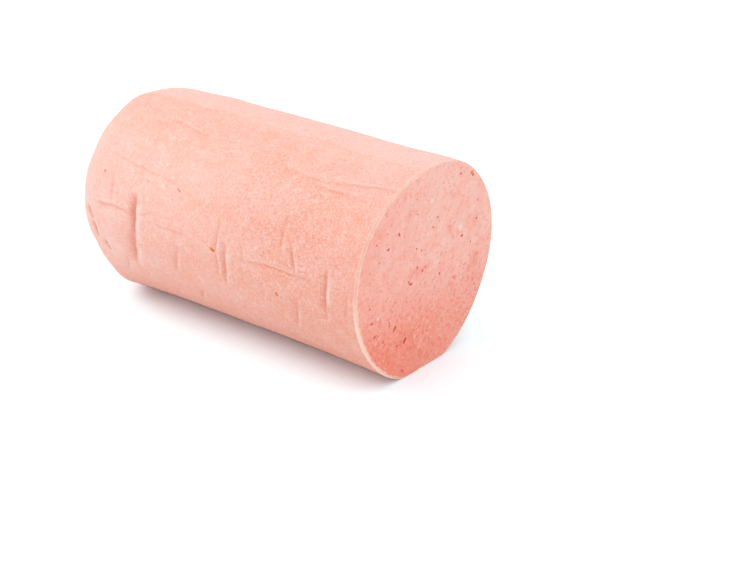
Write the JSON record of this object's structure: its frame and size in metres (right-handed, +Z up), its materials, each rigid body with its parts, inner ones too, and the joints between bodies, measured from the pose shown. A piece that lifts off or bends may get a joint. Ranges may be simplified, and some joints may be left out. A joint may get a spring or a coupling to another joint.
{
  "type": "cooked slicing sausage log",
  "caption": "Thick peeled cooked sausage lying on its side, rounded and gathered at its closed end and sliced flat at the other; for display, slicing or set dressing.",
  "frame": {"origin": "the middle of the resting log's box, at the height of the surface it lies on", "axes": "+X along the log towards the cut face, +Z up, +Y to the left of someone looking along +X"},
  "size_m": [0.1812, 0.0994, 0.0998],
  "materials": {
    "sausage": "matt, slightly moist pale pink cooked meat: a smooth peach-coloured peeled skin, and a finer pink cut face with small red and white specks"
  },
  "bodies": {
    "root": {"sausage": "sausage"}
  },
  "joints": []
}
